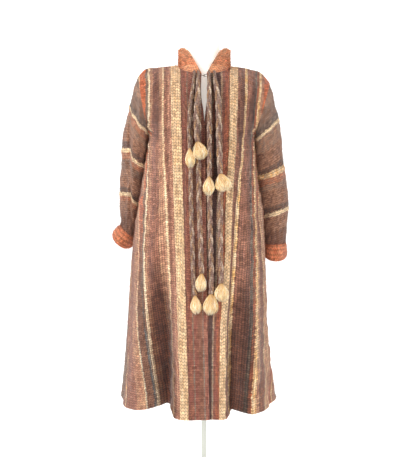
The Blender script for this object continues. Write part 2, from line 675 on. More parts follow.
def stripe_places(net, lines, side):
    """Distance of each point from the front edge in the stripes' own widths. The lines say where a stripe
    is seen at each of LINE_HEIGHTS, and the net's columns run out from the front edge. Below the chest the
    cloth's own length counts between two lines, and above it the place that is seen."""
    reach = run_length(net, 1)
    seen_x, seen_z = seen_from_front(net)
    seen_x = side * seen_x
    knots = [through(LINE_HEIGHTS[::-1], line[::-1], seen_z) * side for _, *line in lines]
    by_length = np.zeros(seen_x.shape)
    for row in range(len(net)):
        passed, widths = [0.0], [0.0]
        for (width, *_), line_x in zip(lines, knots):
            past = seen_x[row] - line_x[row]
            after = np.flatnonzero((past[1:] >= 0.0) & (past[:-1] < 0.0))
            if len(after):
                first = after[0]
                share = past[first] / (past[first] - past[first + 1])
                there = reach[row, first] + share * (reach[row, first + 1] - reach[row, first])
                if there > passed[-1] + 0.002:
                    passed.append(there)
                    widths.append(width)
        beyond = reach[row, -1] + 1.0
        passed.append(beyond)
        widths.append(widths[-1] + beyond - passed[-2])
        by_length[row] = np.interp(reach[row], passed, widths)
    start_x = np.interp(seen_z, seen_z[:, 0], seen_x[:, 0])
    by_place = np.clip(seen_x - start_x, 0.0, None)
    low, low_width = start_x, 0.0
    for (width, *_), line_x in zip(lines, knots):
        share = (seen_x - low) / (line_x - low)
        by_place = np.where(share > 0.0, low_width + share * (width - low_width), by_place)
        low, low_width = line_x, width
    seen_share = soft_step((net[..., 2] - SEEN_FROM_Z) / SEEN_FADE)
    return by_length + seen_share * (by_place - by_length)


def chains(across, along, start, stop, count=3, link=0.014, rise=0.0034):
    """Chunky knitted chains that stand up side by side between two places across the cloth."""
    inside = (across - start) / (stop - start) * count
    chain = np.floor(inside)
    local = 2.0 * (inside - chain) - 1.0
    links = 0.55 + 0.45 * np.abs(np.sin(math.pi * (along / link + 0.5 * chain)))
    shape = rise * np.sqrt(np.clip(1.0 - local**2, 0.0, 1.0)) * links
    return np.where((inside > 0.0) & (inside < count), shape, 0.0)


def unevenness(across, along, seed, height=0.0016):
    """The soft unevenness of hand-knitted cloth: waves of many lengths and directions."""
    chance = np.random.default_rng(seed)
    total = np.zeros(across.shape)
    for length in np.geomspace(0.022, 0.110, 16):
        turn, start = chance.uniform(0.0, 2.0 * math.pi, 2)
        place = across * math.cos(turn) + along * math.sin(turn)
        total += math.sqrt(length / 0.05) * np.sin(2.0 * math.pi * place / length + start)
    return height * total / 4.0


def pressed(points, creases):
    """How far creases draw the cloth in. Each runs from one point of x and height to another, with its
    width and its depth, and dies away towards both ends. A negative depth is a ridge."""
    flat = points[..., (0, 2)]
    depth = np.zeros(points.shape[:2])
    for x, z, to_x, to_z, width, deep in creases:
        start, run = np.array((x, z)), np.array((to_x - x, to_z - z))
        share = np.clip(((flat - start) @ run) / (run @ run), 0.0, 1.0)
        away = np.linalg.norm(flat - start - share[..., None] * run, axis=-1)
        depth += deep * np.exp(-((away / width) ** 2)) * (0.25 + 0.75 * np.sin(math.pi * share))
    return depth


# Colours of the yarns
CREAM, GOLD, PEACH = (240, 216, 180), (224, 176, 116), (232, 190, 152)
ROSE, MAUVE, BROWN, DARK = (176, 122, 102), (146, 104, 92), (136, 94, 76), (92, 70, 66)
RUST, RED, GREY, TAN = (186, 108, 76), (146, 86, 74), (148, 134, 120), (194, 152, 122)

# Heights at which the stripes' places are given, in the plane of the stand's axis
LINE_HEIGHTS = (1.334, 1.173, 0.977, 0.780, 0.550, 0.324)
SEEN_FROM_Z = 1.12           # from here up, over the next number, the stripes go by the seen place
SEEN_FADE = 0.10
RIGHT_BAND, LEFT_BAND = (0.069, 0.102), (0.070, 0.098)  # the wide cream stripe, from and to
RIGHT_LINES = (
    # width from the front edge, then where it is seen at each height
    (0.069, -0.0754, -0.0715, -0.0672, -0.0623, -0.0567, -0.0508),
    (0.102, -0.1082, -0.1040, -0.0984, -0.0925, -0.0859, -0.0787),
    (0.126, -0.1328, -0.1319, -0.1214, -0.1151, -0.1050, -0.0984),
    (0.175, -0.1775, -0.1812, -0.1870, -0.1955, -0.1804, -0.1486),
    (0.2065, -0.2115, -0.2100, -0.2130, -0.2165, -0.2184, -0.1902),
)
LEFT_LINES = (
    (0.070, 0.0836, 0.0820, 0.0708, 0.0675, 0.0530, 0.0505),
    (0.098, 0.1109, 0.1050, 0.0941, 0.0880, 0.0745, 0.0715),
    (0.124, 0.1378, 0.1279, 0.1082, 0.0951, 0.0825, 0.0805),
    (0.169, 0.1837, 0.1673, 0.1673, 0.1735, 0.1738, 0.1650),
    (0.2025, 0.2150, 0.1950, 0.1797, 0.1935, 0.1984, 0.2034),
)
PALE, SAND, EMBER = (236, 208, 172), (222, 184, 142), (218, 128, 88)
RIGHT_STRIPES = (
    # start, yarn, the shade it drifts to
    (0.000, RED, ROSE), (0.012, GREY, MAUVE), (0.017, (156, 102, 84), BROWN), (0.032, RED, (156, 102, 84)),
    (0.044, GREY, BROWN), (0.050, (164, 106, 82), RED), (0.062, BROWN, RED), (0.069, PALE, SAND),
    (0.102, (200, 152, 126), ROSE), (0.112, BROWN, ROSE), (0.122, CREAM, PEACH),
    (0.129, (190, 138, 114), TAN), (0.142, ROSE, BROWN), (0.152, MAUVE, ROSE), (0.163, ROSE, TAN),
    (0.1730, (244, 228, 200), PALE), (0.1785, BROWN, GREY), (0.1865, EMBER, (206, 118, 82)),
    (0.2035, CREAM, PEACH), (0.209, ROSE, TAN), (0.232, TAN, ROSE), (0.237, MAUVE, ROSE),
    (0.262, BROWN, ROSE), (0.285, CREAM, GOLD), (0.291, ROSE, MAUVE), (0.330, BROWN, GREY),
    (0.400, ROSE, ROSE),
)
RIGHT_PATCHES = (
    # middle and reach across and along, the colour that tones the yarn there, share
    (0.150, 0.08, 0.036, 0.42, (150, 132, 122), 1.0), (0.195, 0.06, 0.014, 0.66, (160, 198, 232), 1.0),
    (0.150, 0.960, 0.020, 0.13, (172, 160, 160), 0.7),
)
LEFT_STRIPES = (
    (0.000, (150, 96, 80), MAUVE), (0.012, GREY, BROWN), (0.020, RED, BROWN), (0.028, DARK, (98, 66, 60)),
    (0.042, GREY, TAN), (0.047, BROWN, RED), (0.056, RUST, RED), (0.063, BROWN, RUST), (0.070, PALE, SAND),
    (0.098, ROSE, BROWN), (0.110, MAUVE, BROWN), (0.120, GOLD, CREAM), (0.128, BROWN, ROSE),
    (0.144, BROWN, MAUVE), (0.152, GREY, DARK), (0.158, RUST, BROWN), (0.165, CREAM, GOLD),
    (0.1725, TAN, ROSE), (0.182, EMBER, RUST), (0.200, CREAM, GOLD), (0.206, (200, 150, 124), TAN),
    (0.232, CREAM, PEACH), (0.237, ROSE, TAN), (0.262, RUST, ROSE), (0.285, CREAM, GOLD),
    (0.291, ROSE, TAN), (0.330, BROWN, GREY), (0.400, ROSE, ROSE),
)
LEFT_PATCHES = (
    (0.143, 0.08, 0.026, 0.38, (150, 134, 126), 0.9), (0.113, 0.940, 0.014, 0.16, (176, 164, 160), 0.7),
    (0.148, 0.960, 0.014, 0.13, (166, 156, 160), 0.7), (0.191, 0.20, 0.013, 0.62, (176, 198, 222), 1.0),
)
BACK_STRIPES = (
    # start to each side of the middle
    (0.000, ROSE, MAUVE), (0.016, GREY, BROWN), (0.030, RUST, BROWN), (0.046, GREY, TAN),
    (0.056, RUST, ROSE), (0.069, CREAM, GOLD), (0.102, ROSE, MAUVE), (0.122, CREAM, PEACH),
    (0.130, ROSE, MAUVE), (0.141, BROWN, MAUVE), (0.160, ROSE, TAN), (0.172, CREAM, GOLD),
    (0.1785, BROWN, GREY), (0.190, RUST, BROWN), (0.203, CREAM, PEACH), (0.209, ROSE, TAN),
    (0.232, CREAM, TAN), (0.237, MAUVE, ROSE), (0.262, BROWN, RUST), (0.285, CREAM, GOLD),
    (0.291, ROSE, MAUVE), (0.400, ROSE, ROSE),
)
FRONT_CREASES = (
    # x, height, to x, to height, width, depth
    (-0.195, 1.335, -0.135, 1.235, 0.012, 0.0030),
    (-0.180, 1.225, -0.120, 1.170, 0.010, 0.0022),
    (-0.172, 1.180, -0.158, 1.020, 0.011, 0.0035),
    (-0.150, 1.390, -0.110, 1.310, 0.012, 0.0016),
    (-0.060, 1.300, -0.068, 1.120, 0.013, 0.0018),
    (-0.195, 0.960, -0.120, 0.985, 0.012, 0.0016),
    (-0.120, 0.860, -0.132, 0.640, 0.014, 0.0028),
    (0.198, 1.325, 0.140, 1.240, 0.012, 0.0028),
    (0.165, 1.215, 0.112, 1.160, 0.010, 0.0022),
    (0.158, 1.175, 0.146, 1.010, 0.011, 0.0032),
    (0.150, 1.385, 0.112, 1.300, 0.012, 0.0016),
    (0.066, 1.290, 0.072, 1.100, 0.013, 0.0018),
    (0.185, 0.930, 0.118, 0.955, 0.012, 0.0016),
    (0.128, 0.840, 0.140, 0.620, 0.014, 0.0026),
)
BACK_CREASES = (
    (-0.190, 1.330, -0.120, 1.250, 0.013, 0.0030),
    (-0.165, 1.200, -0.090, 1.165, 0.012, 0.0022),
    (-0.060, 1.405, 0.060, 1.402, 0.014, 0.0020),
    (-0.130, 1.120, -0.150, 0.900, 0.014, 0.0030),
    (-0.100, 0.960, 0.020, 0.930, 0.013, 0.0020),
    (0.190, 1.325, 0.122, 1.240, 0.013, 0.0030),
    (0.160, 1.195, 0.085, 1.155, 0.012, 0.0022),
    (0.120, 1.110, 0.140, 0.880, 0.014, 0.0030),
    (0.005, 0.905, 0.105, 0.930, 0.013, 0.0018),
)
FRONT_GRID = (321, 171)
BACK_GRID = (281, 221)
HEM_ROLL = 0.0022            # the hem curls and stands a little proud
HEM_LIFT_FADE = 0.16         # height over which the drawing up of the hem fades
SIDE_PUSH_FADE = 0.45        # the push to the side fades from this height, over as much again
SEAM_DRAW = 0.012            # the relief dies away over this width beside a seam
SEAM_EASE = 0.04             # rows this near a seam move with it
HEM_SHAPE = np.array((
    # where it is seen, how much the hem is drawn up there and pushed out to the side
    (-0.300, 0.016, -0.009), (-0.255, 0.017, -0.009), (-0.215, 0.016, -0.007), (-0.180, 0.021, -0.004),
    (-0.150, 0.026, -0.001), (-0.122, 0.031, 0.000), (-0.108, 0.028, 0.000), (-0.098, 0.006, 0.000),
    (-0.080, 0.002, 0.000), (-0.050, 0.000, 0.000), (0.077, 0.000, 0.000), (0.084, 0.014, 0.000),
    (0.095, 0.020, 0.000), (0.125, 0.016, 0.000), (0.160, 0.010, 0.000), (0.190, 0.014, 0.001),
    (0.225, 0.014, 0.002), (0.300, 0.012, 0.002),
))


def top_curve(side, front, places):
    """The seam along the top of half a body, read at places counted in the steps of its net."""
    neck_steps = FRONT_NECK_STEPS if front else BACK_NECK_STEPS // 2
    neck = neck_line(side, front, np.clip(places / neck_steps, 0.0, 1.0))
    shoulder = shoulder_line(side, np.clip((places - neck_steps) / SHOULDER_STEPS, 0.0, 1.0))
    share = np.clip((places - neck_steps - SHOULDER_STEPS) / ARMHOLE_STEPS, 0.0, 1.0)
    armhole = armhole_point(side, share * (180.0 if front else -180.0))
    curve = np.where((places > neck_steps)[:, None], shoulder, neck)
    return np.where((places > neck_steps + SHOULDER_STEPS)[:, None], armhole, curve)


def meet_seam(net, curve):
    """Moves the top row onto its seam's own curve, and the rows near it by less."""
    from_top = run_length(net[::-1], 0)[::-1]
    return net + (curve - net[-1]) * (1.0 - soft_step(from_top / SEAM_EASE))[..., None]


def beside_seams(net, start_edge, end_edge):
    """Share of the relief that is left beside the top seam and, where they are seams, the two sides."""
    from_edge = run_length(net[::-1], 0)[::-1]
    reach = run_length(net, 1)
    if start_edge:
        from_edge = np.minimum(from_edge, reach)
    if end_edge:
        from_edge = np.minimum(from_edge, reach[:, -1:] - reach)
    return soft_step(from_edge / SEAM_DRAW)


def ridge(across, place, width, rise=0.0014):
    return rise * np.exp(-(((across - place) / width) ** 2))


def hung(net):
    """The net with its hem drawn up a little where the folds fall back, as the photograph shows."""
    seen_x, _ = seen_from_front(net)
    lift = np.interp(seen_x, HEM_SHAPE[:, 0], HEM_SHAPE[:, 1])
    aside = np.interp(seen_x, HEM_SHAPE[:, 0], HEM_SHAPE[:, 2])
    moved = net.copy()
    moved[..., 2] += lift * (1.0 - soft_step((net[..., 2] - HEM_Z) / HEM_LIFT_FADE))
    moved[..., 0] += aside * (1.0 - soft_step((net[..., 2] - SIDE_PUSH_FADE) / SIDE_PUSH_FADE))
    return moved


def hem_roll(net):
    return HEM_ROLL * np.exp(-((run_length(net, 0) - 0.005) / 0.006) ** 2)


net = hung(refine(front_net(-1), *FRONT_GRID))
places = np.linspace(FRONT_NECK_STEPS + SHOULDER_STEPS + ARMHOLE_STEPS, 0.0, FRONT_GRID[1])
net = meet_seam(net, top_curve(-1, True, places))
across = stripe_places(net[:, ::-1], RIGHT_LINES, -1)[:, ::-1]
along = run_length(net, 0)
out = directions_out(net)
rise = chains(across, along, *RIGHT_BAND) + unevenness(across, along, 1) + hem_roll(net)
rise += ridge(across, 0.126, 0.004) + ridge(across, 0.175, 0.003) + ridge(across, 0.060, 0.004)
rise = (rise - pressed(net, FRONT_CREASES)) * beside_seams(net, True, False)
material = knit_material("right_front_stripes", RIGHT_STRIPES, band=RIGHT_BAND, patches=RIGHT_PATCHES)
right_front = cloth_piece("right_front", net, out, rise, (across, along), material, "striped_knit",
                          ("_mohair", 30000, 0.0060))

net = hung(refine(front_net(1), *FRONT_GRID))
net = meet_seam(net, top_curve(1, True, places[::-1]))
across = stripe_places(net, LEFT_LINES, 1)
along = run_length(net, 0)
out = directions_out(net)
rise = chains(across, along, *LEFT_BAND) + unevenness(across, along, 2) + hem_roll(net)
rise += ridge(across, 0.124, 0.004) + ridge(across, 0.169, 0.004) + ridge(across, 0.060, 0.004)
past_lap = net[..., 0] - through(EDGE_LEVELS[:, 0], EDGE_LEVELS[:, 1], net[..., 2])
rise = np.where(net[..., 2] < TUCK_TOP_Z[1], rise * soft_step(past_lap / 0.012), rise)
rise = (rise - pressed(net, FRONT_CREASES)) * beside_seams(net, False, True)
material = knit_material("left_front_stripes", LEFT_STRIPES, band=LEFT_BAND, patches=LEFT_PATCHES)
left_front = cloth_piece("left_front", net, out, rise, (across, along), material, "striped_knit",
                         ("_mohair", 28000, 0.0060))

BACK_HALF_WIDTH = 0.270      # of the stripes, from the middle to the side seam
net = hung(refine(back_net(), *BACK_GRID))
places = np.linspace(-1.0, 1.0, BACK_GRID[1]) * (BACK_NECK_STEPS // 2 + SHOULDER_STEPS + ARMHOLE_STEPS)
top = np.where((places < 0.0)[:, None], top_curve(1, False, -places), top_curve(-1, False, places))
net = meet_seam(net, top)
middle = BACK_GRID[1] // 2
reach = run_length(net, 1)
from_middle = np.abs(reach - reach[:, middle:middle + 1])
to_side = np.where(reach < reach[:, middle:middle + 1], reach[:, middle:middle + 1],
                   reach[:, -1:] - reach[:, middle:middle + 1])
spread = 1.0 - soft_step((net[..., 2] - 1.10) / 0.24)
across = from_middle * (1.0 + spread * (BACK_HALF_WIDTH / to_side - 1.0))
along = run_length(net, 0)
out = directions_out(net)
rise = chains(across, along, *RIGHT_BAND) + unevenness(reach, along, 3) + hem_roll(net)
rise += ridge(across, 0.126, 0.004) + ridge(across, 0.175, 0.003)
rise = (rise - pressed(net, BACK_CREASES)) * beside_seams(net, True, True)
material = knit_material("back_stripes", BACK_STRIPES, band=RIGHT_BAND)
back = cloth_piece("back", net, out, rise, (across, along), material, "striped_knit",
                   ("_mohair", 36000, 0.0060))


# The sleeves: knitted round in mottled brown wool, with pale bands that each have a dark band above them.
# They are set in at the armholes, a little full at the head, and gathered into the cuffs.
SLEEVE_ROWS = 14
SLEEVE_HEAD_ROWS = 5
SLEEVE_HEAD_FULLNESS = 0.007
SLEEVE_HEAD_LEAD = 0.9
SLEEVE_CLEARANCE = 0.0025
BODY_SIDE = (35.0, 145.0)
SLEEVE_RINGS = {
    -1: np.array((
        # height, x, y, half width, half depth, tilt
        (1.130, 0.2265, 0.026, 0.0455, 0.066, 18.0),
        (1.070, 0.2310, 0.046, 0.0455, 0.064, 18.0),
        (1.010, 0.2385, 0.054, 0.0425, 0.061, 16.0),
        (0.940, 0.2440, 0.060, 0.0385, 0.055, 16.0),
        (0.895, 0.2455, 0.062, 0.0355, 0.048, 26.0),
        (0.868, 0.2525, 0.062, 0.0355, 0.044, 40.0),
    )),
    1: np.array((
        (1.130, 0.2115, 0.023, 0.0460, 0.066, 16.0),
        (1.060, 0.2203, 0.032, 0.0475, 0.065, 14.0),
        (0.990, 0.2298, 0.038, 0.0480, 0.062, 12.0),
        (0.930, 0.2350, 0.042, 0.0440, 0.057, 10.0),
        (0.870, 0.2350, 0.042, 0.0380, 0.049, 5.0),
        (0.834, 0.2370, 0.042, 0.0340, 0.045, 2.0),
    )),
}
SLEEVE_CREASES = {
    # side: angle round the sleeve, spread, depth, height of its top and foot
    -1: (58.0, 17.0, 0.009, 1.300, 0.890),
    1: (120.0, 22.0, 0.005, 1.220, 0.900),
}
SLEEVE_GRID = (221, 124)
SLEEVE_ROUND = 0.341         # length round a sleeve in its map: 62 wales
SLEEVE_RADIUS = 0.055        # of the round on which its unevenness is laid out
CREASE_WIDTH = 0.008         # of the long crease, where the bands step
BAND_PLACES = {
    # side: x of the inner edge and of the long crease, the bands' step there, then heights and how much a
    # band rises outwards at each
    -1: (0.200, 0.238, 0.021, (0.960, 1.100, 1.240), (0.70, 0.56, 1.20)),
    1: (0.185, 0.300, 0.000, (0.930, 1.060, 1.200), (0.34, 0.34, 0.90)),
}
SMALL_CREASES = {
    -1: (
        # x, height, to x, to height, width, depth
        (-0.239, 1.300, -0.242, 0.905, 0.0050, 0.0070),
        (-0.250, 1.285, -0.252, 0.920, 0.0080, -0.0020),
        (-0.262, 1.300, -0.205, 1.190, 0.012, 0.0022),
        (-0.268, 1.120, -0.205, 1.075, 0.010, 0.0026),
        (-0.205, 1.060, -0.275, 1.030, 0.009, 0.0024),
        (-0.272, 1.000, -0.215, 0.985, 0.009, 0.0020),
        (-0.220, 0.950, -0.232, 0.885, 0.006, 0.0026),
        (-0.246, 0.940, -0.250, 0.880, 0.005, 0.0030),
        (-0.268, 0.935, -0.270, 0.885, 0.006, 0.0022),
    ),
    1: (
        (0.252, 1.260, 0.190, 1.170, 0.012, 0.0022),
        (0.262, 1.110, 0.200, 1.065, 0.011, 0.0026),
        (0.195, 1.030, 0.270, 1.005, 0.010, 0.0026),
        (0.275, 0.965, 0.205, 0.945, 0.009, 0.0020),
        (0.212, 0.905, 0.218, 0.845, 0.006, 0.0028),
        (0.236, 0.915, 0.236, 0.842, 0.005, 0.0030),
        (0.258, 0.905, 0.254, 0.845, 0.006, 0.0024),
    ),
}
HEATHER, SMOKE, UMBER, EARTH = (180, 134, 108), (148, 122, 106), (100, 80, 72), (138, 98, 78)
SIENNA = (186, 118, 86)
SLEEVE_STRIPES = {
    -1: (
        # height at the inner edge, yarn, the shade it drifts to
        (0.800, EARTH, BROWN), (0.890, HEATHER, EARTH), (0.930, SIENNA, HEATHER), (0.944, CREAM, PALE),
        (0.957, UMBER, EARTH), (0.974, HEATHER, EARTH), (1.035, SMOKE, EARTH), (1.066, SIENNA, HEATHER),
        (1.086, CREAM, PALE), (1.099, UMBER, EARTH), (1.118, HEATHER, EARTH), (1.160, SMOKE, HEATHER),
        (1.186, SIENNA, HEATHER), (1.212, CREAM, PALE), (1.225, UMBER, SMOKE), (1.250, SMOKE, EARTH),
        (1.300, HEATHER, SMOKE), (1.330, SMOKE, EARTH), (1.600, SMOKE, SMOKE),
    ),
    1: (
        (0.760, EARTH, BROWN), (0.860, EARTH, HEATHER), (0.913, CREAM, PALE), (0.927, UMBER, EARTH),
        (0.944, HEATHER, EARTH), (1.000, HEATHER, SMOKE), (1.020, (190, 120, 88), HEATHER),
        (1.045, GOLD, CREAM), (1.060, UMBER, EARTH), (1.078, HEATHER, EARTH), (1.130, HEATHER, SMOKE),
        (1.182, CREAM, PALE), (1.196, UMBER, SMOKE), (1.222, SMOKE, EARTH), (1.270, HEATHER, SMOKE),
        (1.310, SMOKE, EARTH), (1.600, SMOKE, SMOKE),
    ),
}


def sleeve_crease(side, turn, height):
    centre, spread, depth, top, foot = SLEEVE_CREASES[side]
    away = (turn - centre + 180.0) % 360.0 - 180.0
    along = np.clip((height - foot) / (top - foot), 0.0, 1.0)
    return depth * np.sin(math.pi * along) ** 0.6 * np.exp(-((away / spread) ** 2))


def clear_of_body(side, ring):
    """Moves a sleeve's ring out from the side of the body where it would touch it."""
    angles = side * np.linspace(*BODY_SIDE, ANGLE_STEPS)
    for point in ring:
        if point[2] < CHEST_Z:
            body = body_point(angles, point[2])
            reach = np.interp(point[1], body[:, 1], side * body[:, 0]) + SLEEVE_CLEARANCE
            point[0] = side * max(side * point[0], reach)
    return ring


def sleeve_net(side):
    """Net of a sleeve from its end up to the armhole, with its columns running round."""
    turns = np.arange(2 * ARMHOLE_STEPS) * 180.0 / ARMHOLE_STEPS
    heights = SLEEVE_RINGS[side][::-1, 0]
    rings = SLEEVE_RINGS[side][::-1, 1:]
    net = []
    for level in np.linspace(heights[0], heights[-1], SLEEVE_ROWS - SLEEVE_HEAD_ROWS + 1):
        x, y, wide, deep, tilt = through(heights, rings, level)
        across = (wide - sleeve_crease(side, turns, level)) * np.cos(np.radians(turns))
        depth = (deep - sleeve_crease(side, turns, level)) * np.sin(np.radians(turns))
        ring = np.stack((side * (x + across * math.cos(math.radians(tilt))), y - depth,
                         level + across * math.sin(math.radians(tilt))), axis=-1)
        net.append(clear_of_body(side, ring))
    first, below = net[-1], net[-2]
    hole = armhole_point(side, turns)
    for step in range(1, SLEEVE_HEAD_ROWS + 1):
        share = step / SLEEVE_HEAD_ROWS
        rest = 1.0 - share
        lead = first + (first - below) * SLEEVE_HEAD_LEAD
        ring = rest * rest * first + rest * share * (lead + (first + hole) / 2.0) + share * share * hole
        outward = np.clip(np.cos(np.radians(turns)), 0.0, 1.0)[:, None]
        bulge = SLEEVE_HEAD_FULLNESS * 4.0 * share * rest * outward
        net.append(clear_of_body(side, ring + bulge * np.array((side, 0.0, 0.3))))
    net[-1] = hole
    return np.array(net) if side < 0 else np.array(net)[:, ::-1]


for side, name in ((-1, "right_sleeve"), (1, "left_sleeve")):
    net = refine(sleeve_net(side), *SLEEVE_GRID, wraps=True)
    turns = np.arange(SLEEVE_GRID[1]) * 360.0 / SLEEVE_GRID[1]
    # The left sleeve's columns run the other way round, from the last coarse one.
    turns = turns if side < 0 else 360.0 - 180.0 / ARMHOLE_STEPS - turns
    net = meet_seam(net, armhole_point(side, turns))
    inner_x, crease_x, step, heights, rises = BAND_PLACES[side]
    from_crease = np.abs(net[..., 0]) - crease_x
    band = net[..., 2] - np.interp(net[..., 2], heights, rises) * (
        np.minimum(from_crease, 0.0) + crease_x - inner_x)
    band -= step * soft_step(from_crease / CREASE_WIDTH + 0.5)
    across = np.broadcast_to(np.arange(SLEEVE_GRID[1]) * SLEEVE_ROUND / SLEEVE_GRID[1], net.shape[:2])
    out = directions_out(net, wraps=True)
    around = 2.0 * math.pi * across / SLEEVE_ROUND
    rise = unevenness(SLEEVE_RADIUS * np.cos(around) + 0.2 * side,
                      band + SLEEVE_RADIUS * np.sin(around), 4, 0.0018)
    for start, colour, _ in SLEEVE_STRIPES[side]:
        if colour in (CREAM, GOLD):
            rise += ridge(band, start + 0.006, 0.006, 0.0024)
    rise = (rise - pressed(net, SMALL_CREASES[side])) * beside_seams(net, False, False)
    material = knit_material(name + "_bands", SLEEVE_STRIPES[side], by_length=True, drift=0.012,
                             wobble=0.0030)
    sleeve = cloth_piece(name, net, out, rise, (across, band), material, "striped_knit",
                         ("_mohair", 22000 + side, 0.0065), period=SLEEVE_ROUND)


# The stand collar: a doubled band of brushed rust mohair, knitted in rows round the neck and sewn to the
# neckline. It leans open in front, has rounded corners, and falls a little towards the sides.
COLLAR_CLOTH = 0.004
COLLAR_HEIGHT = 0.068
COLLAR_FLARE = -0.001
COLLAR_OPENING = 0.098
COLLAR_CORNER = 0.050
COLLAR_CORNER_DROP = 0.011
COLLAR_ROWS = 5
COLLAR_LEVELLING = 0.55
NECK_SEAM_STEPS = 61
COLLAR_GRID = (41, 281)
COLLAR_RISE = 0.008          # how much taller the soft knit stands than the plain band
COLLAR_SIDE_DROP = 0.009     # the top edge falls away from the front corners to the sides
COLLAR_LEVEL_END = 0.100     # share of the collar's length at each end where it hasn't begun to fall
COLLAR_FALL = 0.10           # share of the length over which it falls
KNIT_ROW = 0.0075            # height of a knitted row of the collar
KNIT_ROW_RISE = 0.0009
COLLAR_STRIPES = (
    # distance up from the seam, yarn, the shade it drifts to
    (-0.010, (222, 138, 100), (236, 164, 120)), (0.008, (244, 178, 134), (230, 152, 110)),
    (0.015, (226, 144, 104), (240, 174, 130)), (0.023, (246, 184, 140), (232, 156, 114)),
    (0.030, (228, 148, 108), (242, 176, 132)), (0.038, (248, 188, 146), (236, 160, 118)),
    (0.045, (230, 152, 112), (244, 182, 138)), (0.053, (250, 194, 154), (238, 164, 122)),
    (0.060, (238, 166, 124), (250, 200, 160)), (0.100, (236, 160, 120), (236, 160, 120)),
)


def collar_net():
    """Net of the collar from the neck seam up, from the wearer's right corner round to the left."""
    halves = []
    for side, front in ((1, True), (1, False), (-1, False), (-1, True)):
        steps = FRONT_NECK_STEPS if front else BACK_NECK_STEPS // 2
        halves.append(neck_line(side, front, np.linspace(0.0, 1.0, steps + 1)))
    seam = np.concatenate((halves[0], halves[1][::-1][1:], halves[2][1:], halves[3][::-1][1:]))
    steps = np.linalg.norm(np.diff(seam, axis=0), axis=1)
    place = np.concatenate(((0.0,), np.cumsum(steps)))
    place /= place[-1]
    even = np.linspace(0.0, 1.0, NECK_SEAM_STEPS)
    seam_at = np.stack([np.interp(even, place, seam[:, axis]) for axis in range(3)], axis=-1)
    net = [seam]
    for row in range(1, COLLAR_ROWS + 1):
        share = row / COLLAR_ROWS
        lean = COLLAR_OPENING * share
        moved = lean + place * (1.0 - 2.0 * lean)
        ring = np.stack([np.interp(moved, even, seam_at[:, axis]) for axis in range(3)], axis=-1)
        from_end = np.minimum(place, 1.0 - place)
        corner = np.clip(from_end / COLLAR_CORNER, 0.0, 1.0)
        rounding = COLLAR_CORNER_DROP * (1.0 - np.sin(corner * math.pi / 2.0))
        fallen = COLLAR_SIDE_DROP * soft_step((from_end - COLLAR_LEVEL_END) / COLLAR_FALL)
        tall = COLLAR_HEIGHT + COLLAR_RISE - share**2 * fallen
        away = unit(ring * np.array((1.0, 1.0, 0.0)))
        ring = ring + away * (COLLAR_FLARE * math.sin(share * math.pi / 2.0))
        ring[:, 2] = seam_at[0, 2] + (ring[:, 2] - seam_at[0, 2]) * (1.0 - COLLAR_LEVELLING * share)
        ring[:, 2] += share * tall - share**3 * rounding
        net.append(ring)
    return np.array(net)


net = refine(collar_net(), *COLLAR_GRID)
across = run_length(net, 1)
along = run_length(net, 0)
out = directions_out(net)
rows_of_knit = KNIT_ROW_RISE * np.abs(np.sin(math.pi * along / KNIT_ROW))
rise = (rows_of_knit + unevenness(across, along, 5, 0.0010)) * soft_step(along / SEAM_DRAW)
material = knit_material("collar_mohair", COLLAR_STRIPES, by_length=True, drift=0.02)
collar = cloth_piece("collar", net, out, rise, (across, along), material, "rust_mohair",
                     ("_fuzz", 16000, 0.0085), thickness=COLLAR_CLOTH)


# The cuffs: the ends of the sleeves, knitted in rust mohair and left to roll up on themselves.
CUFF_LENGTH = {-1: 0.030, 1: 0.036}
CUFF_THICKNESS = 0.009
CUFF_FLARE = 0.003
SEAM_GAP = 0.0003
CUFF_STEPS = 24              # round the roll
CUFF_SAG = 0.019             # the roll hangs lower in front
CUFF_STRIPES = (
    # distance over the roll, yarn, the shade it drifts to
    (-0.001, (206, 118, 82), (230, 150, 108)), (0.010, (232, 152, 110), (212, 126, 88)),
    (0.020, (208, 120, 84), (236, 158, 116)), (0.032, (238, 160, 120), (216, 132, 94)),
    (0.046, (210, 124, 88), (234, 156, 114)), (0.060, (206, 122, 88), (192, 106, 74)),
    (0.120, (190, 104, 74), (190, 104, 74)),
)

